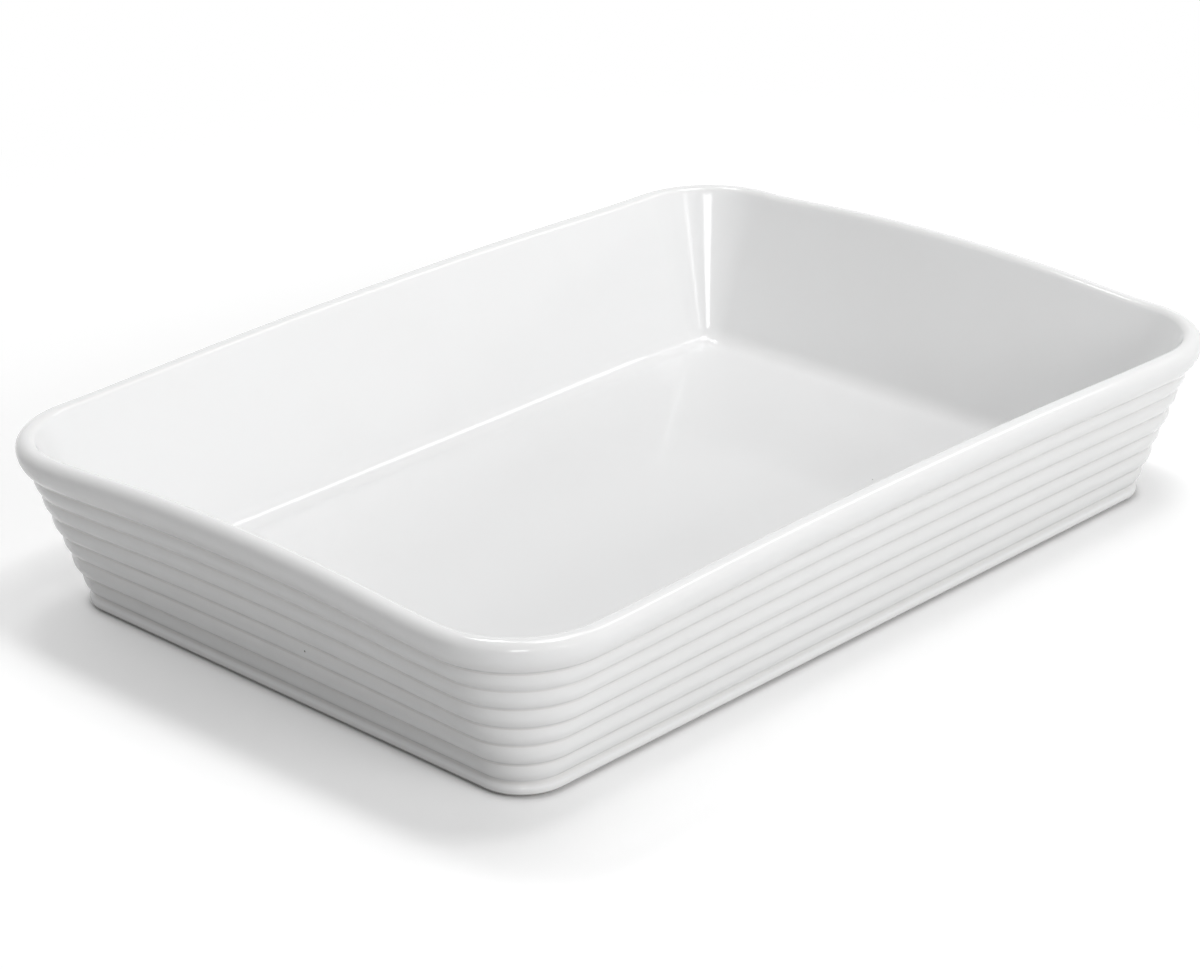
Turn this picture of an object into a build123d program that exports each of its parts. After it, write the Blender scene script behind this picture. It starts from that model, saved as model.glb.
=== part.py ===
"""Lasagna dish: one moulded and fired piece of white porcelain with its coat of glaze.

The origin is at the middle of the resting plane, +Z is up and +X runs along the long side.
Each wall is one section carried round a rounded rectangle at a steady distance from the rim.
All lengths are in millimetres and all angles in degrees.
"""
from build123d import *
from math import asin, cos, hypot, radians, sin, sqrt, tan
import os

# The whole dish, with its glaze on
dish_length = 340.0
dish_width = 245.0
rim_height = 58.5
floor_corner_radius = 3.0
long_side_rise = 2.5
short_side_rise = 3.6

# The glaze
glaze_thickness = 0.3
glaze_edge_height = 0.9

# The rim, in section
lip_outer_radius = 3.3
lip_top_width = 0.3
lip_inner_radius = 2.3
rim_band_height = 11.5
top_groove_inset = 4.6

# The ribbed outer wall, in section, with its ribs from the top one down
outer_wall_lean = 20.2
rib_height_shares = (0.925, 1.0, 1.06, 0.965, 1.095, 0.955)
rib_radius = 5.8
groove_radius = 1.4

# The inner wall and the floor, in section
inner_wall_lean = 21.5
inner_fillet_radius = 8.0
floor_thickness = 3.9

# The foot ring, in section, with the angle at which its outside meets the lowest groove
foot_outer_radius = 2.15
foot_groove_angle = 43.2
foot_width = 4.2
foot_inner_radius = 1.1
recess_wall_height = 0.2

# Where the lofts along a side have their sections, as shares of half the straight side
station_shares = (-1.0, -0.72, -0.36, 0.0, 0.36, 0.72, 1.0)

# A line of the section shorter than this share of the glaze's thickness is left out
shortest_line_share = 0.1

quarter_turn = 90.0
half_turn = 180.0
recess_height = foot_inner_radius + recess_wall_height
floor_height = recess_height + floor_thickness
bare_floor_height = floor_height - glaze_thickness
core_height = (recess_height + bare_floor_height) / 2


class Bend:
    """A circle that the section turns round: its reach is negative where the section is hollow."""

    def __init__(self, across, height, reach):
        self.across = across
        self.height = height
        self.reach = reach

    def surface(self, normal, coat):
        """The point of the surface that faces along normal, with so much coat on it."""
        grown = self.reach + coat
        return (self.across + grown * normal[0], self.height + grown * normal[1])


def facing(first, second):
    """The outward normal of the line that touches two bends, the first being met first."""
    run = second.across - first.across
    climb = second.height - first.height
    distance = hypot(run, climb)
    along = max(-1.0, min(1.0, (first.reach - second.reach) / distance))
    beside = sqrt(1.0 - along * along)
    return (
        (along * run - beside * climb) / distance,
        (along * climb + beside * run) / distance,
    )


def between(first, second):
    """The normal halfway between two normals."""
    across = first[0] + second[0]
    height = first[1] + second[1]
    size = hypot(across, height)
    return (across / size, height / size)


def groove_bends():
    """The grooves of the outer wall, from the top one down."""
    lean = radians(outer_wall_lean)
    glazed_radius = groove_radius - glaze_thickness
    top_across = glazed_radius * cos(lean) - top_groove_inset
    top_height = rim_height - rim_band_height - glazed_radius * sin(lean)
    foot_reach = foot_outer_radius + groove_radius
    lowest_height = foot_outer_radius + foot_reach * sin(radians(foot_groove_angle))
    rib_pitch = (top_height - lowest_height) / sum(rib_height_shares)
    grooves = [Bend(top_across, top_height, -groove_radius)]
    for share in rib_height_shares:
        upper = grooves[-1]
        drop = rib_pitch * share
        across = upper.across - drop * tan(lean)
        grooves.append(Bend(across, upper.height - drop, -groove_radius))
    return grooves


def rib_bend(upper, lower):
    """The rib that touches the grooves above and below it."""
    half_run = (lower.across - upper.across) / 2
    half_climb = (lower.height - upper.height) / 2
    half_gap = hypot(half_run, half_climb)
    depth = sqrt((rib_radius + groove_radius) ** 2 - half_gap ** 2)
    across = upper.across + half_run + depth * half_climb / half_gap
    height = upper.height + half_climb - depth * half_run / half_gap
    return Bend(across, height, rib_radius)


def rim_band_bend(widest_height, top_groove):
    """The swelling band under the lip: it touches the widest line and the top groove."""
    climb = widest_height - top_groove.height
    setback = -glaze_thickness - top_groove.across
    spread = climb ** 2 + setback ** 2 - groove_radius ** 2
    radius = spread / (groove_radius + setback) / 2
    return Bend(-glaze_thickness - radius, widest_height, radius)


def foot_bend(lowest_groove):
    """The rounded outside of the foot ring: it touches the lowest groove and the table."""
    run = (foot_outer_radius + groove_radius) * cos(radians(foot_groove_angle))
    return Bend(lowest_groove.across - run, foot_outer_radius, foot_outer_radius)


def fillet_bend(lip_inner):
    """The hollow between the inner wall and the floor: the wall's line touches it and the lip."""
    lean = radians(inner_wall_lean)
    height = bare_floor_height + inner_fillet_radius
    drop = lip_inner.height - height
    run = (inner_fillet_radius + lip_inner.reach + drop * sin(lean)) / cos(lean)
    return Bend(lip_inner.across - run, height, -inner_fillet_radius)


def section_bends():
    """Every bend of the section, from the inside floor over the rim and down to the foot."""
    top_height = rim_height - glaze_thickness
    outer_across = -glaze_thickness - lip_outer_radius
    inner_across = outer_across - lip_top_width
    lip_outer = Bend(outer_across, top_height - lip_outer_radius, lip_outer_radius)
    lip_inner = Bend(inner_across, top_height - lip_inner_radius, lip_inner_radius)
    grooves = groove_bends()
    band = rim_band_bend(lip_outer.height, grooves[0])
    bends = [fillet_bend(lip_inner), lip_inner, lip_outer, band]
    for upper, lower in zip(grooves, grooves[1:]):
        bends += [upper, rib_bend(upper, lower)]
    bends += [grooves[-1], foot_bend(grooves[-1])]
    return bends


bends = section_bends()
upward = (0.0, 1.0)
downward = (0.0, -1.0)
inward = (-1.0, 0.0)
normals = [upward] + [facing(first, second) for first, second in zip(bends, bends[1:])]
floor_edge = bends[0].across
foot = bends[-1]
corner_radius = floor_corner_radius - floor_edge
half_long_run = dish_length / 2 - corner_radius
half_short_run = dish_width / 2 - corner_radius


def coat_path(coat, last_normal):
    """The section's outside with so much coat on it, as pieces of two or three points."""
    pieces = []
    ends = normals[1:] + [last_normal]
    shortest_line = glaze_thickness * shortest_line_share
    start = None
    for bend, first, last in zip(bends, normals, ends):
        arc = [bend.surface(first, coat), bend.surface(between(first, last), coat)]
        arc.append(bend.surface(last, coat))
        if start and hypot(arc[0][0] - start[0], arc[0][1] - start[1]) > shortest_line:
            pieces.append([start, arc[0]])
        elif start:
            arc[0] = start
        pieces.append(arc)
        start = arc[-1]
    return pieces


def joined(pieces):
    """The pieces with straight lines between those that don't meet, as one closed ring."""
    ring = []
    for piece, following in zip(pieces, pieces[1:] + pieces[:1]):
        ring.append(piece)
        if piece[-1] != following[0]:
            ring.append([piece[-1], following[0]])
    return ring


def body_ring():
    """The section of the fired body, foot ring and floor edge included."""
    inner_foot = Bend(foot.across - foot_width, foot_inner_radius, foot_inner_radius)
    rounding = [
        inner_foot.surface(downward, 0),
        inner_foot.surface(between(downward, inward), 0),
        inner_foot.surface(inward, 0),
    ]
    recess = [(rounding[-1][0], recess_height), (floor_edge, recess_height)]
    floor_side = [(floor_edge, recess_height), (floor_edge, bare_floor_height)]
    return joined(coat_path(0, downward) + [rounding, recess, floor_side])


def glazed_ring():
    """The section of the glazed dish above the glaze's edge, filled in to the body's core."""
    edge_angle = asin((glaze_edge_height - foot.height) / (foot.reach + glaze_thickness))
    outside = coat_path(glaze_thickness, (cos(edge_angle), sin(edge_angle)))
    foot_middle = foot.across - foot_width / 2
    foot_core = [(foot_middle, glaze_edge_height), (foot_middle, core_height)]
    floor_side = [(floor_edge, core_height), (floor_edge, floor_height)]
    return joined(outside + [foot_core, floor_side])


def lifted(height, rise):
    """A height of the section where the rim stands so much higher than at the corners."""
    share = max(0.0, height - floor_height) / (rim_height - floor_height)
    return height + rise * share


def section_face(ring, plane, rise):
    """The section as a face on a plane whose X points out of the dish and whose Y is up."""
    edges = []
    for piece in ring:
        points = [plane.from_local_coords((across, lifted(height, rise))) for across, height in piece]
        edges.append(Line(*points) if len(points) == 2 else ThreePointArc(*points))
    return Face(Wire(edges))


def rise_share(place):
    """How much of a side's rise is reached at a place, as a share of half the straight side."""
    return (1.0 - place ** 2) * (1.0 - place ** 4)


def wall_run(ring, half_run, half_across, rise):
    """One straight wall along X, on the -Y side, with its rim rising towards the middle."""
    faces = []
    for place in station_shares:
        origin = (place * half_run, -half_across, 0)
        plane = Plane(origin, x_dir=(0, -1, 0), z_dir=(-1, 0, 0))
        faces.append(section_face(ring, plane, rise * rise_share(place)))
    return loft(faces)


def wall_corner(ring):
    """One corner, turned about its own upright axis from the -Y wall to the +X wall."""
    origin = (half_long_run, -dish_width / 2, 0)
    plane = Plane(origin, x_dir=(0, -1, 0), z_dir=(-1, 0, 0))
    axis = Axis((half_long_run, -half_short_run, 0), (0, 0, 1))
    return revolve(section_face(ring, plane, 0), axis, revolution_arc=quarter_turn)


def rounded_plate(inset, bottom, top):
    """A flat plate with the dish's plan, so far in from its widest line."""
    outline = RectangleRounded(dish_length - 2 * inset, dish_width - 2 * inset, corner_radius - inset)
    return Pos(0, 0, bottom) * extrude(outline, top - bottom)


def walls_all_round(ring):
    """The four walls and four corners of a section."""
    long_wall = wall_run(ring, half_long_run, dish_width / 2, long_side_rise)
    short_wall = wall_run(ring, half_short_run, dish_length / 2, short_side_rise)
    corner = wall_corner(ring)
    half = [long_wall, corner, Rot(0, 0, quarter_turn) * short_wall, mirror(corner, Plane.XZ)]
    return half + [Rot(0, 0, half_turn) * piece for piece in half]


def porcelain_body():
    """The moulded and fired body: walls, floor and foot ring in one."""
    floor = rounded_plate(-floor_edge, recess_height, bare_floor_height)
    return floor.fuse(*walls_all_round(body_ring()))


def glaze_coat(body):
    """The glaze on everything but the foot ring and the panel inside it, shaped by the body."""
    floor = rounded_plate(-floor_edge, core_height, floor_height)
    return floor.fuse(*walls_all_round(glazed_ring())).cut(body)


def underside_glaze():
    """The glaze on the shallow panel inside the foot ring."""
    inset = foot_width + foot_inner_radius - foot.across
    return rounded_plate(inset, recess_height - glaze_thickness, recess_height)


os.makedirs("parts", exist_ok=True)
body = porcelain_body()
nodes = {
    "porcelain_body": body,
    "glaze_coat": glaze_coat(body),
    "underside_glaze": underside_glaze(),
}
for name, solid in nodes.items():
    export_step(solid, f"parts/{name}.step")
    print(name, len(solid.solids()), round(solid.volume), solid.is_valid)
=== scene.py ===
"""A ribbed porcelain lasagna dish: its fired body, its glaze and the soft studio light round it."""

from math import asin, atan2, ceil, cos, hypot, pi, radians, sin, sqrt, tan

import bpy
from bpy.props import FloatProperty, FloatVectorProperty, IntProperty, PointerProperty
from mathutils import Matrix, Vector


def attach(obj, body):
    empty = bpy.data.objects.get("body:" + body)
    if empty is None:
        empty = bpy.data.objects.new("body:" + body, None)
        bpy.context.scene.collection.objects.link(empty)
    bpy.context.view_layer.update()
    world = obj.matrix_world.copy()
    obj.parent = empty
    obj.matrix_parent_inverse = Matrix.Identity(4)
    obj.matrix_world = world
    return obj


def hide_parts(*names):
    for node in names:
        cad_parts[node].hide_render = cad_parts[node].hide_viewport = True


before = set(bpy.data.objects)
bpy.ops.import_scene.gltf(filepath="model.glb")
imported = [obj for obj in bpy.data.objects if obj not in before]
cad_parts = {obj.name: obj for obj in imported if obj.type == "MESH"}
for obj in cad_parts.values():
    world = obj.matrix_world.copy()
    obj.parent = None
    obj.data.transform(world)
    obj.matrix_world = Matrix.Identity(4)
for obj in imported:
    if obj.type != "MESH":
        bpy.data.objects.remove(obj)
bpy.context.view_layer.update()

bl_info = {
    "name": "Lasagna Dish",
    "version": (1, 0, 0),
    "blender": (4, 5, 0),
    "location": "3D Viewport > Sidebar > Lasagna Dish",
    "description": "Makes a ribbed porcelain lasagna dish and lights it for a plain studio picture",
    "category": "Object",
}


# Settings

def length(name, description, default):
    """A length that a user can change, in metres."""
    return FloatProperty(
        name=name, description=description, default=default, min=0.0,
        unit="LENGTH", subtype="DISTANCE", precision=5,
    )


def slant(name, description, degrees):
    """An angle that a user can change, given here in degrees."""
    return FloatProperty(
        name=name, description=description, default=radians(degrees),
        unit="ROTATION", subtype="ANGLE",
    )


def amount(name, description, default, most=1.0):
    """A plain number that a user can change."""
    return FloatProperty(
        name=name, description=description, default=default, min=0.0, max=most, subtype="FACTOR",
    )


def colour(name, description, default):
    """A colour that a user can change."""
    return FloatVectorProperty(
        name=name, description=description, default=default, size=3, min=0.0, max=1.0,
        subtype="COLOR",
    )


def steps(name, description, default):
    """How finely something is divided."""
    return IntProperty(name=name, description=description, default=default, min=2)


class DishSizes(bpy.types.PropertyGroup):
    """The dish's own sizes, with its glaze on."""

    long_side: length("Long side", "Length over the rim", 0.340)
    short_side: length("Short side", "Width over the rim", 0.245)
    rim_height: length("Rim height", "Height of the rim at the corners", 0.0585)
    long_side_rise: length("Long side rise", "How much higher the middle of a long side is", 0.0025)
    short_side_rise: length("Short side rise", "How much higher the middle of a short side is", 0.0036)
    floor_corner: length("Floor corner", "Corner radius of the flat floor inside", 0.003)
    glaze: length("Glaze", "Thickness of the glaze", 0.0003)
    glaze_edge: length("Glaze edge", "Height at which the glaze ends above the table", 0.0009)
    lip_outer: length("Lip outside", "Radius of the lip's outer rounding", 0.0033)
    lip_top: length("Lip top", "Width of the lip's flat top", 0.0003)
    lip_inner: length("Lip inside", "Radius of the lip's inner rounding", 0.0023)
    rim_band: length("Rim band", "Height of the smooth band above the top groove", 0.0115)
    top_groove: length("Top groove", "How far in from the widest line the top groove is", 0.0046)
    outer_lean: slant("Outer lean", "How far the ribbed wall leans out", 20.2)
    rib: length("Rib", "Radius of a rib", 0.0058)
    groove: length("Groove", "Radius of a groove in the bare body", 0.0014)
    inner_lean: slant("Inner lean", "How far the inside wall leans out", 21.5)
    fillet: length("Fillet", "Radius between the inside wall and the floor", 0.008)
    floor_thickness: length("Floor thickness", "Thickness of the floor with its glaze", 0.0039)
    foot_outer: length("Foot outside", "Radius of the foot's outer rounding", 0.00215)
    foot_angle: slant("Foot angle", "Where the foot's rounding meets the lowest groove", 43.2)
    foot_width: length("Foot width", "Width of the flat that the dish stands on", 0.0042)
    foot_inner: length("Foot inside", "Radius of the foot's inner rounding", 0.0011)
    recess_wall: length("Recess wall", "Upright wall above the foot's inner rounding", 0.0002)
    long_steps: steps("Long steps", "Divisions of a straight long side", 36)
    short_steps: steps("Short steps", "Divisions of a straight short side", 24)
    corner_steps: steps("Corner steps", "Divisions of a corner", 24)


class DishFinish(bpy.types.PropertyGroup):
    """The colours, the gloss and the relief of the glaze and of the bare body."""

    glaze_colour: colour("Glaze", "Glaze over the white body", (0.828, 0.83, 0.831))
    # Partly the colour of thick glaze and partly painted shade in the grooves and on the upper part of
    # each rib
    pooled_and_shaded_colour: colour("Pooled glaze", "Where the glaze lies thick, also painted shade in the grooves", (0.72, 0.714, 0.705))
    thin_colour: colour("Thin glaze", "Where the glaze is drawn thin", (0.77, 0.766, 0.755))
    cloudiness: amount("Cloudiness", "How unevenly thick the glaze looks", 0.4)
    glaze_roughness: amount("Glaze roughness", "Blur of the glaze's sharpest reflections", 0.09)
    roughness_spread: amount("Roughness spread", "How much more blurred other places are", 0.05)
    swell_depth: length("Swell", "Depth of the slow swells in the glaze", 0.00025)
    peel_depth: length("Fine unevenness", "Depth of the fine unevenness of the glaze", 0.000012)
    speck_colour: colour("Firing speck", "Specks of iron in the glaze", (0.05, 0.045, 0.04))
    bare_colour: colour("Bare porcelain", "Unglazed foot ring", (0.66, 0.635, 0.6))
    # Used for the grain too; by the sole it is partly rubbed wear and partly painted contact shade
    rubbed_and_shaded_colour: colour("Rubbed foot", "Where the ring has rubbed on shelves, also painted contact shade by the sole", (0.5, 0.48, 0.46))
    # The foot edge colour and the height below are painted contact shadow where the foot meets the
    # table
    contact_shadow_colour: colour("Foot edge", "Painted contact shadow round the foot's outer edge", (0.27, 0.26, 0.25))
    contact_shadow_height: length("Contact shadow height", "Height up to which the glaze has a painted contact shadow", 0.0016)
    bare_roughness: amount("Bare roughness", "Blur of the bare clay's reflections", 0.62)
    grain_roughness: amount("Grain roughness", "How much more the grain blurs them", 0.25)
    grain_depth: length("Grain", "Depth of the grain in the bare clay", 0.00005)
    bare_gloss: amount("Bare gloss", "How much the bare clay reflects", 0.15)


class StudioSettings(bpy.types.PropertyGroup):
    """The floor, the light from all round and the camera."""

    floor_colour: colour("Floor", "Colour of the floor as it lights the dish", (0.62, 0.62, 0.62))
    seen_floor: colour("Seen floor", "Colour of the floor as the camera sees it", (1.0, 1.0, 1.0))
    floor_lift: amount("Floor lift", "How much the camera sees the floor brighter than it is", 0.13)
    floor_reach: length("Floor reach", "How far from the dish the floor keeps its shadows", 0.5)
    room_light: amount("Room light", "Strength of the light from the room's bright sides", 1.0, 5.0)
    camera_turn: slant("Camera turn", "Where the camera stands round the dish", -45.48)
    camera_pitch: slant("Camera pitch", "How far the camera looks down", 23.80)
    camera_roll: slant("Camera roll", "How far the camera is tilted to one side", -1.13)
    camera_distance: length("Camera distance", "From the camera to what it looks at", 1.12424)


# Name, direction round the dish and above the floor in degrees, distance, width, height,
# brightness, whether it lights the dish and whether the glaze mirrors it
SOFTBOXES = (
    ("Overhead", 75.0, 78.0, 1.2, 0.5, 0.5, 3.6, True, True),
    ("Near Key", 30.0, 76.0, 1.5, 0.3, 0.3, 9.4, True, True),
    ("Far Key", 160.0, 68.0, 1.5, 0.3, 0.3, 10.8, True, True),
    ("Front", -5.0, 22.0, 1.5, 0.8, 0.4, 6.3, True, False),
    ("Front Card", -9.0, 23.0, 1.45, 0.16, 0.25, 3.0, False, True),
    ("Beside The Camera", -47.0, 24.0, 1.5, 0.33, 0.3, 8.0, False, True),
    ("Side Card", 66.5, 48.0, 1.5, 0.25, 0.75, 4.5, False, True),
    ("Right Corner", 63.0, 45.0, 1.5, 0.15, 0.15, 6.0, True, False),
)
# The sides from which the room itself lights the dish: direction as above, and brightness
BRIGHT_SIDES = ((0.0, 5.0, 1.85), (135.0, 5.0, 1.32), (180.0, 20.0, 0.9), (270.0, 45.0, 0.34))
# The higher this is, the narrower each bright side
SIDE_SHARPNESS = 4.0
# What the camera looks at, and its lens
LOOK_AT = Vector((-0.02082, -0.00821, 0.030))
LENS_MILLIMETRES, SENSOR_MILLIMETRES = 105.0, 36.0
NEAREST_SEEN, FARTHEST_SEEN = 0.05, 20.0
# Half the floor's side, and how far it lies under the foot so that no two faces share a plane
FLOOR_HALF, FLOOR_DROP = 4.0, 0.0001
# The share of the floor's reach in which its shadows are whole
SHADOW_SHARE = 0.6
# How far inside the foot's edge the floor's lift begins, and over what width it grows: the floor left
# unlifted by the foot is a painted contact shadow
LIFT_SETBACK, LIFT_WIDTH = 0.001, 0.004
# Where each speck of iron lies in the glaze, and its radius
FIRING_SPECKS = (((-0.15767, -0.0196, 0.0248), 0.00042), ((0.0838, -0.0348, 0.0052), 0.00026))
GLAZE_IOR = 1.52


# Node trees written as expressions

class Signal:
    """What a socket carries. Python's operators on it add Math nodes to its tree."""

    def __init__(self, graph, socket):
        self.graph = graph
        self.socket = socket

    def maths(self, operation, *others):
        """A Math node with this signal first."""
        return self.graph.maths(operation, self, *others)

    def __add__(self, other):
        return self.maths("ADD", other)

    def __radd__(self, other):
        return self.graph.maths("ADD", other, self)

    def __sub__(self, other):
        return self.maths("SUBTRACT", other)

    def __rsub__(self, other):
        return self.graph.maths("SUBTRACT", other, self)

    def __mul__(self, other):
        return self.maths("MULTIPLY", other)

    def __rmul__(self, other):
        return self.graph.maths("MULTIPLY", other, self)

    def __truediv__(self, other):
        return self.maths("DIVIDE", other)

    def __mod__(self, other):
        return self.maths("MODULO", other)

    def floor(self):
        """The whole number below."""
        return self.maths("FLOOR")

    def at_least(self, lowest):
        """Never under this."""
        return self.maths("MAXIMUM", lowest)

    def at_most(self, highest):
        """Never over this."""
        return self.maths("MINIMUM", highest)

    def share(self):
        """Kept between nought and one."""
        return self.at_least(0.0).at_most(1.0)


class Made:
    """A node that has been made, whose outputs are had by name or number."""

    def __init__(self, graph, node):
        self.graph = graph
        self.node = node

    def __getitem__(self, output):
        return Signal(self.graph, self.node.outputs[output])


class Graph:
    """A node tree in the making."""

    def __init__(self, tree):
        self.tree = tree
        self.entrance = None

    def add(self, kind, settings=None, values=None):
        """A node of a kind: its settings are made first, then its sockets are filled or linked."""
        node = self.tree.nodes.new(kind)
        for name, setting in (settings or {}).items():
            setattr(node, name, setting)
        for name, value in (values or {}).items():
            if isinstance(value, Signal):
                self.tree.links.new(value.socket, node.inputs[name])
            else:
                node.inputs[name].default_value = value
        return Made(self, node)

    def maths(self, operation, *values):
        """A Math node on signals and numbers."""
        return self.add("ShaderNodeMath", {"operation": operation}, dict(enumerate(values)))[0]

    def vector_maths(self, operation, *values):
        """A Vector Math node, whose output is had by name."""
        settings = {"operation": operation}
        return self.add("ShaderNodeVectorMath", settings, dict(enumerate(values)))

    def mixed(self, share, first, second):
        """A colour between two colours."""
        values = {0: share, 6: opaque(first), 7: opaque(second)}
        return self.add("ShaderNodeMix", {"data_type": "RGBA"}, values)[2]

    def noise(self, place, scale, detail=2.0, roughness=0.5):
        """Cloudy noise from nought to one, of so many lumps to the metre."""
        values = {"Vector": place, "Scale": scale, "Detail": detail, "Roughness": roughness}
        return self.add("ShaderNodeTexNoise", {}, values)["Fac"]

    def bump(self, height, depth, under=None):
        """A bump of so many metres, on top of another where one is given."""
        values = {"Height": height, "Distance": depth}
        if under:
            values["Normal"] = under
        return self.add("ShaderNodeBump", {}, values)["Normal"]

    def enter(self, name, kind):
        """A named input of the whole tree."""
        if not self.entrance:
            self.entrance = self.tree.nodes.new("NodeGroupInput")
        self.tree.interface.new_socket(name=name, in_out="INPUT", socket_type=kind)
        return Signal(self, self.entrance.outputs[name])

    def leave(self, name, kind, result):
        """The named output of the whole tree."""
        self.tree.interface.new_socket(name=name, in_out="OUTPUT", socket_type=kind)
        self.add("NodeGroupOutput", {}, {name: result})


def opaque(shade):
    """A colour as its socket takes it."""
    return shade if isinstance(shade, Signal) else (*shade[:3], 1.0)


# The section of the wall

class Bend:
    """A circle that the section turns round: its reach is negative where the section is hollow."""

    # A hollow bend of this radius or less gathers as much glaze as can be
    pooling_radius = 0.0011

    def __init__(self, across, height, reach):
        self.across = across
        self.height = height
        self.reach = reach

    def surface(self, normal, coat):
        """The point of the surface that faces along normal, with so much glaze on it."""
        grown = self.reach + coat
        return self.across + grown * normal[0], self.height + grown * normal[1]

    def rows(self, first, last, coat, widest_step, before=0.0, after=0.0):
        """Rows of points along the bend, from one facing to another, with their pooling.

        Hollow bends gather glaze and rounded ones are left thin, from what has run in from the
        bend before it to what runs out of it. The darker colour of the pooled glaze also paints
        shade in the grooves and on the upper part of each rib.
        """
        start = atan2(first[1], first[0])
        turn = (atan2(last[1], last[0]) - start + pi) % (2 * pi) - pi
        count = max(1, ceil(abs(turn) / widest_step))
        gathered = max(-1.0, min(1.0, -self.pooling_radius / (self.reach + coat)))
        rows = []
        for number in range(count + 1):
            share = number / count
            angle = start + turn * share
            pooling = gathered * sin(pi * share) + before * (1.0 - share) ** 2 + after * share ** 2
            rows.append((*self.surface((cos(angle), sin(angle)), coat), pooling))
        return rows


def facing(first, second):
    """The outward normal of the line that touches two bends, the first being met first."""
    run, climb = second.across - first.across, second.height - first.height
    distance = hypot(run, climb)
    along = max(-1.0, min(1.0, (first.reach - second.reach) / distance))
    beside = sqrt(1.0 - along * along)
    return (along * run - beside * climb) / distance, (along * climb + beside * run) / distance


class Section:
    """The section of the dish's wall, from the inside floor over the rim and down to the foot."""

    up, down, inward, outward = (0.0, 1.0), (0.0, -1.0), (-1.0, 0.0), (1.0, 0.0)
    # How high each rib is beside the others, from the top one down
    rib_height_shares = (0.925, 1.0, 1.06, 0.965, 1.095, 0.955)
    # How much of the glaze in a groove has run down onto the rib under it, where its darker tint also
    # paints shade on the upper part of the rib
    run_down_and_shade = 0.55
    # The widest turn from one row to the next, on the glaze's seen side, its hidden side, the
    # body, the foot's inner rounding and the beads in which the glaze ends
    seen_turn, hidden_turn, body_turn = radians(7), radians(18), radians(11)
    foot_turn, bead_turn = radians(9), radians(30)

    def __init__(self, sizes):
        self.sizes = sizes
        self.recess_height = sizes.foot_inner + sizes.recess_wall
        self.floor_height = self.recess_height + sizes.floor_thickness
        self.bends = self.wall_bends()
        self.normals = [self.up] + [facing(a, b) for a, b in zip(self.bends, self.bends[1:])]
        self.foot = self.bends[-1]
        self.floor_edge = self.bends[0].across
        self.corner_radius = sizes.floor_corner - self.floor_edge
        self.middle = -sizes.short_side / 2

    def grooves(self):
        """The grooves of the outer wall, from the top one down."""
        s = self.sizes
        glazed = s.groove - s.glaze
        across = glazed * cos(s.outer_lean) - s.top_groove
        height = s.rim_height - s.rim_band - glazed * sin(s.outer_lean)
        lowest = s.foot_outer + (s.foot_outer + s.groove) * sin(s.foot_angle)
        pitch = (height - lowest) / sum(self.rib_height_shares)
        grooves = [Bend(across, height, -s.groove)]
        for share in self.rib_height_shares:
            upper, drop = grooves[-1], pitch * share
            across = upper.across - drop * tan(s.outer_lean)
            grooves.append(Bend(across, upper.height - drop, -s.groove))
        return grooves

    def rib(self, upper, lower):
        """The rib that touches the grooves above and below it."""
        run, climb = (lower.across - upper.across) / 2, (lower.height - upper.height) / 2
        gap = hypot(run, climb)
        depth = sqrt((self.sizes.rib + self.sizes.groove) ** 2 - gap ** 2)
        across = upper.across + run + depth * climb / gap
        return Bend(across, upper.height + climb - depth * run / gap, self.sizes.rib)

    def wall_bends(self):
        """Every bend of the bare body's section."""
        s = self.sizes
        top = s.rim_height - s.glaze
        outer = Bend(-s.glaze - s.lip_outer, top - s.lip_outer, s.lip_outer)
        inner = Bend(outer.across - s.lip_top, top - s.lip_inner, s.lip_inner)
        grooves = self.grooves()
        climb = outer.height - grooves[0].height
        setback = -s.glaze - grooves[0].across
        radius = (climb ** 2 + setback ** 2 - s.groove ** 2) / (s.groove + setback) / 2
        band = Bend(-s.glaze - radius, outer.height, radius)
        low = self.floor_height - s.glaze + s.fillet
        run = s.fillet + s.lip_inner + (inner.height - low) * sin(s.inner_lean)
        fillet = Bend(inner.across - run / cos(s.inner_lean), low, -s.fillet)
        bends = [fillet, inner, outer, band]
        for upper, lower in zip(grooves, grooves[1:]):
            bends += [upper, self.rib(upper, lower)]
        run = (s.foot_outer + s.groove) * cos(s.foot_angle)
        return bends + [grooves[-1], Bend(grooves[-1].across - run, s.foot_outer, s.foot_outer)]

    def wall(self, coat, last, widest_step):
        """The rows over the whole wall, with so much glaze on it, down to a last facing."""
        rows = []
        before = 0.0
        ends = self.normals[1:] + [last]
        for bend, first, final in zip(self.bends, self.normals, ends):
            # Glaze run down below a groove darkens the upper part of the rib under it, as painted
            # shade
            after = self.run_down_and_shade if rows and bend.reach < 0 else 0.0
            arc = bend.rows(first, final, coat, widest_step, before, after)
            rows += straight(rows[-1], arc[0]) if rows else []
            rows += arc
            before = after
        return rows

    def edge_facing(self, height, coat):
        """Which way the foot's rounding faces at a height."""
        rise = (height - self.foot.height) / (self.foot.reach + coat)
        return cos(asin(rise)), rise

    def flat(self, edge, height):
        """The rows of a flat from the dish's middle to an edge."""
        start = (self.middle, height, 0.0)
        end = (edge, height, 0.0)
        return [start] + straight(start, end) + [end]

    def body(self):
        """The closed section of the fired body, with its foot ring and its recess."""
        s = self.sizes
        inner_foot = Bend(self.foot.across - s.foot_width, s.foot_inner, s.foot_inner)
        wall = self.wall(0.0, self.down, self.body_turn)
        sole = straight(wall[-1], (inner_foot.across, 0.0, 0.0))
        rounding = inner_foot.rows(self.down, self.inward, 0.0, self.foot_turn)
        recess = self.flat(inner_foot.across - s.foot_inner, self.recess_height)
        floor = self.flat(self.floor_edge, self.floor_height - s.glaze)
        return floor[:-1] + wall + sole + rounding + recess[::-1]

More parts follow.
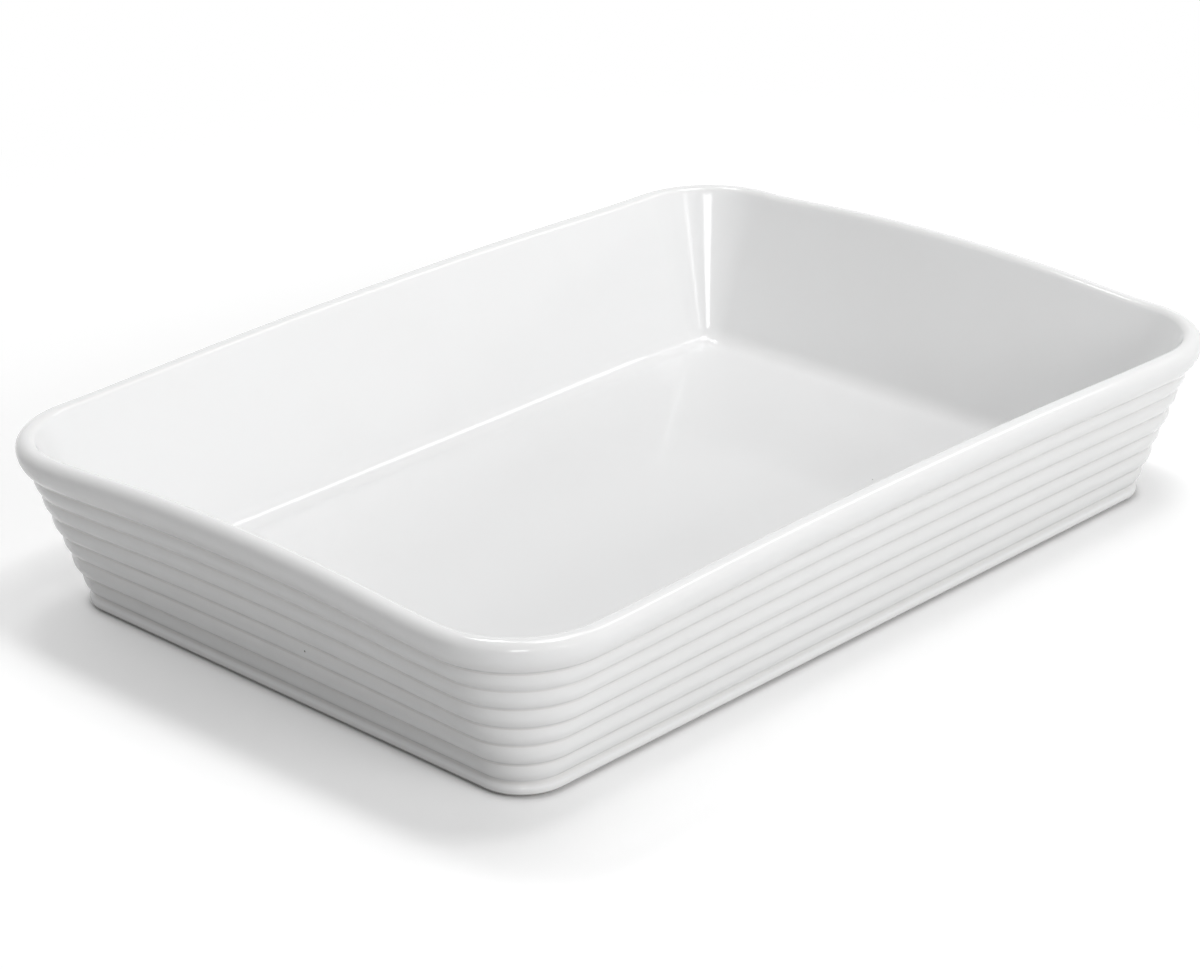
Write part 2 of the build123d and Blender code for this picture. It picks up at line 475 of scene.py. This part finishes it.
    def glaze_coat(self):
        """The closed section of the glaze, which ends in a round bead above the table."""
        s = self.sizes
        bead = s.glaze / 2
        last = self.edge_facing(s.glaze_edge + bead, s.glaze)
        outside = self.flat(self.floor_edge, self.floor_height)[:-1]
        outside += self.wall(s.glaze, last, self.seen_turn)
        inside = self.flat(self.floor_edge, self.floor_height - s.glaze)[:-1]
        inside += self.wall(0.0, last, self.hidden_turn)
        rounding = Bend(*self.foot.surface(last, bead), bead)
        tip = (last[1], -last[0])
        away = (-last[0], -last[1])
        roll = rounding.rows(last, tip, 0.0, self.bead_turn)[1:]
        roll += rounding.rows(tip, away, 0.0, self.bead_turn)[1:-1]
        return outside + roll + inside[::-1]

    def underside(self):
        """The closed section of the glazed panel inside the foot ring."""
        s = self.sizes
        edge = self.foot.across - s.foot_width - s.foot_inner
        bead = s.glaze / 2
        rounding = Bend(edge - bead, self.recess_height - bead, bead)
        top = self.flat(edge - bead, self.recess_height)
        bottom = self.flat(edge - bead, self.recess_height - s.glaze)
        roll = rounding.rows(self.up, self.outward, 0.0, self.bead_turn)
        roll += rounding.rows(self.outward, self.down, 0.0, self.bead_turn)[1:]
        return top[:-1] + roll + bottom[:-1][::-1]


# Lengths up to which a straight part of the section has no rows of its own, and only a few
NO_ROWS_UP_TO, FEW_ROWS_UP_TO = 0.00002, 0.004
# Where its rows lie, as shares of its length
FEW_PLACES = (0.15, 0.5, 0.85)
MANY_PLACES = (0.02, 0.08, 0.25, 0.5, 0.75, 0.92, 0.98)


def straight(start, end):
    """Rows between two rows, crowded towards both ends so that the shading stays even."""
    gap = hypot(end[0] - start[0], end[1] - start[1])
    if gap < NO_ROWS_UP_TO:
        return []
    places = MANY_PLACES if gap > FEW_ROWS_UP_TO else FEW_PLACES
    return [tuple(a + (b - a) * place for a, b in zip(start, end)) for place in places]


# The tree that carries a section round the dish

# Points nearer than this to one another, at the seam and over the dish's middle, become one
SEAM_GAP = 1e-6


def dish_tree(graph):
    """Fills a tree that turns a section's rows into a closed wall round a rounded rectangle."""
    section = graph.enter("Section", "NodeSocketGeometry")
    long_side = graph.enter("Long Side", "NodeSocketFloat")
    short_side = graph.enter("Short Side", "NodeSocketFloat")
    corner_radius = graph.enter("Corner Radius", "NodeSocketFloat")
    long_rise = graph.enter("Long Side Rise", "NodeSocketFloat")
    short_rise = graph.enter("Short Side Rise", "NodeSocketFloat")
    floor_height = graph.enter("Floor Height", "NodeSocketFloat")
    rim_height = graph.enter("Rim Height", "NodeSocketFloat")
    long_steps = graph.enter("Long Steps", "NodeSocketInt")
    short_steps = graph.enter("Short Steps", "NodeSocketInt")
    corner_steps = graph.enter("Corner Steps", "NodeSocketInt")
    material = graph.enter("Material", "NodeSocketMaterial")

    rows = graph.add("GeometryNodeAttributeDomainSize", {}, {"Geometry": section})["Point Count"]
    half_round = long_steps + short_steps + corner_steps * 2
    columns = half_round * 2 + 1
    values = {"Vertices X": columns, "Vertices Y": rows}
    shell = graph.add("GeometryNodeMeshGrid", {}, values)["Mesh"]
    # The half keeps the whole numbers that come out of the division safe from rounding
    number = graph.add("GeometryNodeInputIndex")["Index"] + 0.5
    row = (number % rows).floor()
    column = (number / rows).floor()

    place = graph.add("GeometryNodeInputPosition")["Position"]
    settings = {"data_type": "FLOAT_VECTOR", "domain": "POINT"}
    values = {"Geometry": section, "Value": place, "Index": row}
    sample = graph.add("GeometryNodeSampleIndex", settings, values)["Value"]
    sampled = graph.add("ShaderNodeSeparateXYZ", {}, {"Vector": sample})
    across, pooling, height = sampled["X"], sampled["Y"], sampled["Z"]

    half = (column / half_round).floor()
    step = column - half * half_round
    along_long = (step / long_steps).share()
    first_turn = ((step - long_steps) / corner_steps).share()
    along_short = ((step - long_steps - corner_steps) / short_steps).share()
    second_turn = ((step - long_steps - corner_steps - short_steps) / corner_steps).share()
    side = 1.0 - (half % 2) * 2.0
    angle = (first_turn + second_turn - 1.0) * (pi / 2)

    reach = corner_radius + across
    radius = reach.at_least(0.0)
    shrink = (0.0 - reach).at_least(0.0)
    half_long = long_side * 0.5 - corner_radius - shrink
    half_short = short_side * 0.5 - corner_radius - shrink
    p_long = along_long * 2.0 - 1.0
    p_short = along_short * 2.0 - 1.0
    x = side * (half_long * p_long + radius * angle.maths("COSINE"))
    y = side * (half_short * p_short + radius * angle.maths("SINE"))

    rise = long_rise * rise_share(p_long) + short_rise * rise_share(p_short)
    lift = (height - floor_height).at_least(0.0) / (rim_height - floor_height)
    values = {"X": x, "Y": y, "Z": height + rise * lift}
    position = graph.add("ShaderNodeCombineXYZ", {}, values)["Vector"]
    values = {"Geometry": shell, "Position": position}
    shell = graph.add("GeometryNodeSetPosition", {}, values)["Geometry"]
    settings = {"data_type": "FLOAT", "domain": "POINT"}
    values = {"Geometry": shell, "Name": "pooling", "Value": pooling}
    shell = graph.add("GeometryNodeStoreNamedAttribute", settings, values)["Geometry"]
    shell = graph.add("GeometryNodeFlipFaces", {}, {"Mesh": shell})["Mesh"]
    values = {"Geometry": shell, "Distance": SEAM_GAP}
    shell = graph.add("GeometryNodeMergeByDistance", {}, values)["Geometry"]
    shell = graph.add("GeometryNodeSetShadeSmooth", {}, {"Geometry": shell})["Geometry"]
    shell = graph.add("GeometryNodeRealizeInstances", {}, {"Geometry": shell})["Geometry"]
    values = {"Geometry": shell, "Material": material}
    return graph.add("GeometryNodeSetMaterial", {}, values)["Geometry"]


def rise_share(place):
    """How much of a side's rise is reached at a place from -1 at one end to 1 at the other."""
    square = place * place
    return (1.0 - square) * (1.0 - square * square)


def carried_round(name, rows, section, material):
    """A closed mesh: the rows of a section carried all the way round the dish."""
    sizes = section.sizes
    mesh = bpy.data.meshes.new(name)
    points = [(across, pooling, height) for across, height, pooling in rows]
    mesh.from_pydata(points, [(n, n + 1) for n in range(len(points) - 1)], [])
    piece = bpy.data.objects.new(name, mesh)
    bpy.context.scene.collection.objects.link(piece)

    tree = bpy.data.node_groups.new("Carry A Section Round The Dish", "GeometryNodeTree")
    graph = Graph(tree)
    graph.leave("Shell", "NodeSocketGeometry", dish_tree(graph))

    modifier = piece.modifiers.new("Round The Dish", "NODES")
    modifier.node_group = tree
    inputs = {
        "Long Side": sizes.long_side,
        "Short Side": sizes.short_side,
        "Corner Radius": section.corner_radius,
        "Long Side Rise": sizes.long_side_rise,
        "Short Side Rise": sizes.short_side_rise,
        "Floor Height": section.floor_height,
        "Rim Height": sizes.rim_height,
        "Long Steps": sizes.long_steps,
        "Short Steps": sizes.short_steps,
        "Corner Steps": sizes.corner_steps,
        "Material": material,
    }
    for socket in tree.interface.items_tree:
        if socket.name in inputs:
            modifier[socket.identifier] = inputs[socket.name]
    evaluated = piece.evaluated_get(bpy.context.evaluated_depsgraph_get())
    piece.data = bpy.data.meshes.new_from_object(evaluated)
    piece.data.name = name
    piece.modifiers.clear()
    if not piece.data.polygons:
        raise RuntimeError(f"{name} came out empty")
    return piece


# Materials

# How many lumps each noise has to the metre, in the glaze and in the bare clay
CLOUD_LUMPS, SWELL_LUMPS, BLUR_LUMPS, PEEL_LUMPS, SPECK_LUMPS = 14.0, 22.0, 60.0, 420.0, 3000.0
RUB_LUMPS, GRAIN_LUMPS = 70.0, 1800.0
# How far the thin glaze, the painted contact shadow and the clay's grain go towards their colours
THIN_SHARE, CONTACT_SHADOW_SHARE, GRAIN_SHARE = 0.8, 0.9, 0.15
# How much painted contact shadow the foot's edge gets where it isn't rubbed, for where it is rubbed it
# gets all of it
UNRUBBED_EDGE_SHADOW_SHARE = 0.8
# One over the height in which the painted contact shadow on the glaze and the rubbed grey of the sole,
# partly wear and partly painted contact shade, fade out
CONTACT_SHADOW_SHARPNESS, SOLE_WEAR_AND_SHADE_SHARPNESS = 2000.0, 1100.0
# How sharply rubbed patches and outward faces are told from the rest, and from what level
RUB_CONTRAST, RUB_LEVEL = 3.0, 1.6
OUTWARD_CONTRAST, OUTWARD_LEVEL = 30.0, 0.6


def new_material(name):
    """A material, and its empty tree as a graph."""
    material = bpy.data.materials.new(name)
    material.use_nodes = True
    material.node_tree.nodes.clear()
    return material, Graph(material.node_tree)


def show(graph, shader):
    """Sets what a material shows."""
    graph.add("ShaderNodeOutputMaterial", {}, {"Surface": shader})


def height_at(graph, place):
    """The height of a place above the table."""
    return graph.add("ShaderNodeSeparateXYZ", {}, {"Vector": place})["Z"]


def facing_out(graph, place):
    """One where the surface faces away from the dish's middle, nought where it faces down or in."""
    normal = graph.add("ShaderNodeNewGeometry")["Normal"]
    outward = graph.vector_maths("DOT_PRODUCT", normal, place)["Value"]
    return (outward * OUTWARD_CONTRAST - OUTWARD_LEVEL).share()


def white_glaze(finish):
    """Glossy white glaze: faintly uneven, warmer and darker where it has pooled, which also paints
    shade in the grooves and on the upper part of each rib, thin over the ribs, and darkened just above
    the table as a painted contact shadow.
    """
    material, graph = new_material("White Glaze")
    place = graph.add("ShaderNodeTexCoord")["Object"]
    pooling = graph.add("ShaderNodeAttribute", {"attribute_name": "pooling"})["Fac"]
    cloud = graph.noise(place, CLOUD_LUMPS, detail=3.0)
    # The pooled tint is partly real thick glaze and partly painted shade in the grooves and on the
    # upper part of each rib
    pooled = (pooling + (cloud - 0.5) * finish.cloudiness).share()
    base = graph.mixed(pooled, finish.glaze_colour, finish.pooled_and_shaded_colour)
    base = graph.mixed((0.0 - pooling).share() * THIN_SHARE, base, finish.thin_colour)
    for spot, radius in FIRING_SPECKS:
        away = graph.vector_maths("DISTANCE", place, spot)["Value"]
        uneven = radius + (graph.noise(place, SPECK_LUMPS, detail=1.0) - 0.5) * radius
        # The mark fades in over half its radius
        mark = ((uneven - away) * (2.0 / radius)).share()
        base = graph.mixed(mark, base, finish.speck_colour)
    # Painted contact shadow: the glaze's outward faces darken just above the table
    low = ((finish.contact_shadow_height - height_at(graph, place)) * CONTACT_SHADOW_SHARPNESS).share()
    base = graph.mixed(low * facing_out(graph, place) * CONTACT_SHADOW_SHARE, base, finish.contact_shadow_colour)
    blur = graph.noise(place, BLUR_LUMPS) * finish.roughness_spread
    swell = graph.bump(graph.noise(place, SWELL_LUMPS, detail=1.0), finish.swell_depth)
    peel = graph.bump(graph.noise(place, PEEL_LUMPS), finish.peel_depth, under=swell)
    values = {
        "Base Color": base,
        "Roughness": finish.glaze_roughness + blur,
        "IOR": GLAZE_IOR,
        "Normal": peel,
    }
    show(graph, graph.add("ShaderNodeBsdfPrincipled", {}, values)["BSDF"])
    return material


def bare_porcelain(finish):
    """Matte fired clay with a fine grain, rubbed a little grey where it stands on shelves, which near
    the sole is also painted contact shade, and with a painted contact shadow round the foot's outer
    edge.
    """
    material, graph = new_material("Bare Porcelain")
    place = graph.add("ShaderNodeTexCoord")["Object"]
    grain = graph.noise(place, GRAIN_LUMPS, detail=3.0, roughness=0.7)
    rub = graph.noise(place, RUB_LUMPS, detail=4.0, roughness=0.6)
    rub = (rub * RUB_CONTRAST - RUB_LEVEL).share()
    # Near the sole the rubbed grey is partly wear and partly painted contact shade
    sole = (1.0 - height_at(graph, place) * SOLE_WEAR_AND_SHADE_SHARPNESS).share()
    base = graph.mixed(rub * sole, finish.bare_colour, finish.rubbed_and_shaded_colour)
    base = graph.mixed(grain * GRAIN_SHARE, base, finish.rubbed_and_shaded_colour)
    # Painted contact shadow round the foot's outer edge, deepest where the ring is rubbed
    edge_shadow_share = UNRUBBED_EDGE_SHADOW_SHARE + rub * (1.0 - UNRUBBED_EDGE_SHADOW_SHARE)
    base = graph.mixed(facing_out(graph, place) * edge_shadow_share, base, finish.contact_shadow_colour)
    values = {
        "Base Color": base,
        "Roughness": finish.bare_roughness + grain * finish.grain_roughness,
        "Normal": graph.bump(grain, finish.grain_depth),
        "Specular IOR Level": finish.bare_gloss,
    }
    show(graph, graph.add("ShaderNodeBsdfPrincipled", {}, values)["BSDF"])
    return material


def seen_ray(graph):
    """One for rays from the camera and for mirror and glass rays, nought for the rest."""
    path = graph.add("ShaderNodeLightPath")
    seen = path["Is Camera Ray"] + path["Is Glossy Ray"] + path["Is Transmission Ray"]
    return seen.at_most(1.0)


def blended(graph, share, first, second):
    """A shader between two shaders."""
    return graph.add("ShaderNodeMixShader", {}, {0: share, 1: first, 2: second})[0]


def clear_of_foot(graph, place, section):
    """Nought where the foot comes down to the floor and one a little way outside it: the floor's lift
    is held back there, which paints a contact shadow at the foot.
    """
    core_long = section.sizes.long_side / 2 - section.corner_radius
    core_short = section.sizes.short_side / 2 - section.corner_radius
    # The part of the plan between the corners' centres, and a height that nothing here reaches
    core = (core_long, core_short, 1.0)
    ahead = graph.vector_maths("ABSOLUTE", place)["Vector"]
    ahead = graph.vector_maths("SUBTRACT", ahead, core)["Vector"]
    ahead = graph.vector_maths("MAXIMUM", ahead, (0.0, 0.0, 0.0))["Vector"]
    beyond = graph.vector_maths("LENGTH", ahead)["Value"]
    foot_edge = section.corner_radius + section.foot.across + section.foot.reach
    return ((beyond - (foot_edge - LIFT_SETBACK)) / LIFT_WIDTH).share()


def white_floor(studio, section):
    """A pale floor that shows white where no shadow falls and dark where the foot touches it, where
    the camera's lift is held back as a painted contact shadow.
    """
    material, graph = new_material("White Floor")
    place = graph.add("ShaderNodeTexCoord")["Object"]
    away = graph.vector_maths("LENGTH", place)["Value"]
    fading = studio.floor_reach * (1.0 - SHADOW_SHARE)
    far = ((away - studio.floor_reach * SHADOW_SHARE) / fading).share()
    plain = graph.add("ShaderNodeBsdfDiffuse", {}, {"Color": opaque(studio.floor_colour)})["BSDF"]
    pale = graph.add("ShaderNodeBsdfDiffuse", {}, {"Color": opaque(studio.seen_floor)})["BSDF"]
    # The lift is taken away at the foot, which paints a contact shadow on the floor
    values = {"Color": clear_of_foot(graph, place, section), "Strength": studio.floor_lift}
    lift = graph.add("ShaderNodeEmission", {}, values)["Emission"]
    lifted = graph.add("ShaderNodeAddShader", {}, {0: pale, 1: lift})[0]
    white = graph.add("ShaderNodeEmission", {}, {"Strength": 1.0})["Emission"]
    seen = blended(graph, far, lifted, white)
    show(graph, blended(graph, seen_ray(graph), plain, seen))
    return material


# Operators

class DISH_OT_body(bpy.types.Operator):
    """Makes the fired porcelain body with its bare foot ring"""

    bl_idname = "dish.body"
    bl_label = "Fire The Body"

    def execute(self, context):
        section = Section(context.scene.dish_sizes)
        material = bare_porcelain(context.scene.dish_finish)
        piece = carried_round("fired_body", section.body(), section, material)
        settle(piece, "porcelain_body")
        return {"FINISHED"}


class DISH_OT_glaze(bpy.types.Operator):
    """Lays the coat of white glaze over the body"""

    bl_idname = "dish.glaze"
    bl_label = "Glaze The Dish"

    def execute(self, context):
        section = Section(context.scene.dish_sizes)
        material = white_glaze(context.scene.dish_finish)
        piece = carried_round("white_glaze_coat", section.glaze_coat(), section, material)
        settle(piece, "glaze_coat")
        return {"FINISHED"}


class DISH_OT_underside(bpy.types.Operator):
    """Glazes the panel inside the foot ring"""

    bl_idname = "dish.underside"
    bl_label = "Glaze The Underside"

    def execute(self, context):
        section = Section(context.scene.dish_sizes)
        material = bpy.data.materials["White Glaze"]
        piece = carried_round("white_underside", section.underside(), section, material)
        settle(piece, "underside_glaze")
        return {"FINISHED"}


def settle(piece, node):
    """Ties a finished piece to the frame."""
    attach(piece, "root")
    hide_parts(node)


class DISH_OT_stage(bpy.types.Operator):
    """Sets up the floor, the soft lights and the camera"""

    bl_idname = "dish.stage"
    bl_label = "Set The Stage"

    def execute(self, context):
        studio = context.scene.dish_studio
        mesh = bpy.data.meshes.new("floor")
        corners = [(-1, -1), (1, -1), (1, 1), (-1, 1)]
        points = [(x * FLOOR_HALF, y * FLOOR_HALF, -FLOOR_DROP) for x, y in corners]
        mesh.from_pydata(points, [], [(0, 1, 2, 3)])
        mesh.materials.append(white_floor(studio, Section(context.scene.dish_sizes)))
        floor = bpy.data.objects.new("floor", mesh)
        context.scene.collection.objects.link(floor)
        room_light(context.scene, studio)
        for softbox in SOFTBOXES:
            add_softbox(context.scene, *softbox)
        add_camera(context.scene, studio)
        return {"FINISHED"}


def room_light(scene, studio):
    """White to look at, with soft light on the dish from the sides where the room is bright."""
    scene.world = bpy.data.worlds.new("White Room")
    scene.world.use_nodes = True
    scene.world.node_tree.nodes.clear()
    graph = Graph(scene.world.node_tree)
    way = graph.add("ShaderNodeTexCoord")["Generated"]
    glow = 0.0
    for turn, height, brightness in BRIGHT_SIDES:
        side = direction(radians(turn), radians(height))
        towards = graph.vector_maths("DOT_PRODUCT", way, side)["Value"]
        glow = towards.at_least(0.0).maths("POWER", SIDE_SHARPNESS) * brightness + glow
    light = graph.add("ShaderNodeBackground", {}, {"Color": glow, "Strength": studio.room_light})[0]
    white = graph.add("ShaderNodeBackground", {}, {"Color": (1, 1, 1, 1), "Strength": 1.0})[0]
    seen = blended(graph, seen_ray(graph), light, white)
    graph.add("ShaderNodeOutputWorld", {}, {"Surface": seen})


def direction(turn, height):
    """The way out from the dish, by angles round it and above the floor."""
    return Vector((sin(turn) * cos(height), -cos(turn) * cos(height), sin(height)))


def aimed(back, roll=0.0):
    """The turn of something that looks against back, tilted by roll."""
    right = Vector((0, 0, 1)).cross(back).normalized()
    up = back.cross(right)
    across = right * cos(roll) + up * sin(roll)
    above = up * cos(roll) - right * sin(roll)
    return Matrix((across, above, back)).transposed().to_4x4()


def add_softbox(scene, name, turn, height, distance, wide, tall, brightness, lights, mirrored):
    """One rectangular softbox that faces the dish."""
    lamp = bpy.data.lights.new(name, "AREA")
    lamp.shape = "RECTANGLE"
    lamp.size, lamp.size_y = wide, tall
    lamp.energy = brightness * pi * wide * tall
    holder = bpy.data.objects.new(name, lamp)
    holder.visible_diffuse, holder.visible_glossy = lights, mirrored
    back = direction(radians(turn), radians(height))
    holder.matrix_world = Matrix.Translation(back * distance) @ aimed(back)
    scene.collection.objects.link(holder)


def add_camera(scene, studio):
    """The camera, where the picture was taken from."""
    lens = bpy.data.cameras.new("Picture")
    lens.lens, lens.sensor_width = LENS_MILLIMETRES, SENSOR_MILLIMETRES
    lens.clip_start, lens.clip_end = NEAREST_SEEN, FARTHEST_SEEN
    camera = bpy.data.objects.new("Picture", lens)
    back = direction(studio.camera_turn, studio.camera_pitch)
    place = LOOK_AT + back * studio.camera_distance
    camera.matrix_world = Matrix.Translation(place) @ aimed(back, studio.camera_roll)
    scene.collection.objects.link(camera)
    scene.camera = camera
    scene.view_settings.view_transform = "Standard"


class DISH_PT_sidebar(bpy.types.Panel):
    """The dish's settings and the steps that make it"""

    bl_idname = "DISH_PT_sidebar"
    bl_label = "Lasagna Dish"
    bl_space_type = "VIEW_3D"
    bl_region_type = "UI"
    bl_category = "Lasagna Dish"

    def draw(self, context):
        scene = context.scene
        for settings in (scene.dish_sizes, scene.dish_finish, scene.dish_studio):
            box = self.layout.box()
            for name in settings.__annotations__:
                box.prop(settings, name)
        for operator in OPERATORS:
            self.layout.operator(operator.bl_idname)


OPERATORS = (DISH_OT_body, DISH_OT_glaze, DISH_OT_underside, DISH_OT_stage)
CLASSES = (DishSizes, DishFinish, StudioSettings, *OPERATORS, DISH_PT_sidebar)


def register():
    """Adds the classes and the scene's settings."""
    for made in CLASSES:
        bpy.utils.register_class(made)
    bpy.types.Scene.dish_sizes = PointerProperty(type=DishSizes)
    bpy.types.Scene.dish_finish = PointerProperty(type=DishFinish)
    bpy.types.Scene.dish_studio = PointerProperty(type=StudioSettings)


def unregister():
    """Takes them away again."""
    del bpy.types.Scene.dish_sizes, bpy.types.Scene.dish_finish, bpy.types.Scene.dish_studio
    for made in reversed(CLASSES):
        bpy.utils.unregister_class(made)


def main():
    """Makes the dish and the stage."""
    register()
    bpy.ops.dish.body()
    bpy.ops.dish.glaze()
    bpy.ops.dish.underside()
    bpy.ops.dish.stage()


if __name__ == "__main__":
    main()
